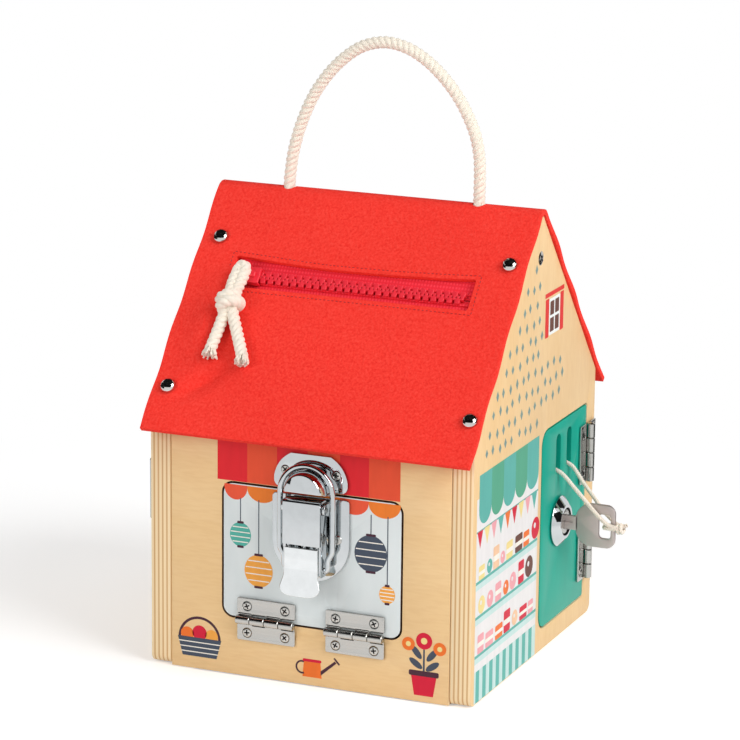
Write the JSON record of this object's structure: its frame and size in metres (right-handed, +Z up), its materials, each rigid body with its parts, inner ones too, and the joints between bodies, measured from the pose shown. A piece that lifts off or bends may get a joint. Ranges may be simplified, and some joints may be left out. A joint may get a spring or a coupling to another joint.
{
  "type": "activity house",
  "caption": "Small wooden activity house: a latched front door, a keyed side door, a small left door, a felt roof with a zip, and a rope handle over the ridge.",
  "frame": {"origin": "The middle of the house's footprint, on the plane of its flat underside.", "axes": "+X runs from left to right along the front, +Y from the front to the back, +Z up to the ridge."},
  "size_m": [0.2071, 0.1911, 0.299],
  "materials": {
    "birch_plywood": "sanded, clear lacquer, with printed shapes",
    "white_printed_wood": "pale painted face with printed shapes, satin",
    "teal_painted_wood": "painted, satin",
    "polished_chrome": "polished plate",
    "satin_steel": "satin, nickel plated",
    "red_felt": "pressed wool felt, matte",
    "red_zip_plastic": "moulded, satin",
    "cotton_rope": "natural cotton, matte"
  },
  "bodies": {
    "house": {"left_gable": "birch_plywood", "right_gable": "birch_plywood", "front_wall": "birch_plywood", "back_wall": "birch_plywood", "floor_panel": "birch_plywood", "ridge_batten": "birch_plywood", "strike_plate": "polished_chrome", "front_hinge_1_wall_leaf": "satin_steel", "front_hinge_1_pin": "satin_steel", "front_hinge_2_wall_leaf": "satin_steel", "front_hinge_2_pin": "satin_steel", "side_hinge_1_wall_leaf": "satin_steel", "side_hinge_1_pin": "satin_steel", "side_hinge_2_wall_leaf": "satin_steel", "side_hinge_2_pin": "satin_steel", "left_hinge_wall_leaf": "satin_steel", "left_hinge_pin": "satin_steel", "strike_screw_1": "satin_steel", "strike_screw_2": "satin_steel", "ridge_screw_1": "satin_steel", "ridge_screw_2": "satin_steel", "turn_button_screw": "satin_steel", "front_roof_stud_1": "satin_steel", "front_roof_stud_2": "satin_steel", "front_roof_stud_3": "satin_steel", "front_roof_stud_4": "satin_steel", "back_roof_stud_1": "satin_steel", "back_roof_stud_2": "satin_steel", "back_roof_stud_3": "satin_steel", "back_roof_stud_4": "satin_steel", "felt_roof": "red_felt", "zip_upper_side": "red_zip_plastic", "zip_lower_side": "red_zip_plastic", "rope_knot_1": "cotton_rope", "rope_knot_2": "cotton_rope"},
    "front_door_body": {"front_door": "white_printed_wood", "front_hinge_1_door_leaf": "satin_steel", "front_hinge_2_door_leaf": "satin_steel", "latch_base": "polished_chrome", "lever_pin": "satin_steel"},
    "lever_body": {"latch_lever": "polished_chrome", "catch_pin": "satin_steel"},
    "loop_body": {"latch_loop": "polished_chrome"},
    "thumb_catch_body": {"thumb_catch": "polished_chrome"},
    "side_door_body": {"side_door": "teal_painted_wood", "side_hinge_1_door_leaf": "satin_steel", "side_hinge_2_door_leaf": "satin_steel", "lock_body": "polished_chrome", "lock_nut": "satin_steel", "key_string": "cotton_rope"},
    "lock_plug_body": {"lock_plug": "satin_steel", "lock_cam": "satin_steel", "cam_screw": "satin_steel", "lock_key": "satin_steel"},
    "left_door_body": {"left_door": "birch_plywood", "left_hinge_door_leaf": "satin_steel"},
    "turn_button_body": {"turn_button": "birch_plywood"},
    "zip_slider_body": {"zip_slider": "red_zip_plastic"},
    "zip_pull_body": {"zip_pull": "cotton_rope"},
    "handle_rope_body": {"handle_rope": "cotton_rope"}
  },
  "joints": [
    {"name": "front_door_hinge", "type": "hinge", "parent": "house", "child": "front_door_body", "pos_m": [0.0013, -0.0856, 0.0287], "axis": [1, 0, 0], "range_deg": [0, 95]},
    {"name": "latch_lever_hinge", "type": "hinge", "parent": "front_door_body", "child": "lever_body", "pos_m": [0.0013, -0.0915, 0.09], "axis": [-1, 0, 0], "range_deg": [0, 110]},
    {"name": "latch_loop_hinge", "type": "hinge", "parent": "lever_body", "child": "loop_body", "pos_m": [0.0013, -0.0895, 0.0598], "axis": [-1, 0, 0], "range_deg": [-110, 0]},
    {"name": "thumb_catch_hinge", "type": "hinge", "parent": "lever_body", "child": "thumb_catch_body", "pos_m": [0.0013, -0.091, 0.0735], "axis": [-1, 0, 0], "range_deg": [0, 12], "stiffness_Nm_per_rad": 0.02},
    {"name": "side_door_hinge", "type": "hinge", "parent": "house", "child": "side_door_body", "pos_m": [0.0851, 0.0712, 0.0609], "axis": [0, 0, 1], "range_deg": [0, 170]},
    {"name": "lock_turn", "type": "hinge", "parent": "side_door_body", "child": "lock_plug_body", "pos_m": [0.0825, 0.0333, 0.0603], "axis": [-1, 0, 0], "range_deg": [0, 90], "deforming": ["key_string"]},
    {"name": "left_door_hinge", "type": "hinge", "parent": "house", "child": "left_door_body", "pos_m": [-0.0851, -0.0712, 0.0865], "axis": [0, 0, 1], "range_deg": [0, 170]},
    {"name": "turn_button_pivot", "type": "hinge", "parent": "house", "child": "turn_button_body", "pos_m": [-0.0825, -0.0127, 0.0865], "axis": [1, 0, 0], "range_deg": [0, 90]},
    {"name": "zip_slide", "type": "slide", "parent": "house", "child": "zip_slider_body", "axis": [1, 0, 0], "range_m": [0, 0.106]},
    {"name": "zip_pull_swing", "type": "hinge", "parent": "zip_slider_body", "child": "zip_pull_body", "pos_m": [-0.056, -0.03646, 0.1849], "axis": [0, -0.7538, 0.6572], "range_deg": [-25, 25], "deforming": ["zip_pull"]},
    {"name": "handle_rope_bend", "type": "hinge", "parent": "house", "child": "handle_rope_body", "pos_m": [0.0014, 0, 0.2255], "axis": [1, 0, 0], "range_deg": [-75, 75], "stiffness_Nm_per_rad": 0.02, "deforming": ["handle_rope"]}
  ],
  "couplings": [
    {"joint": "latch_loop_hinge", "follows": "latch_lever_hinge", "ratio": -1}
  ]
}
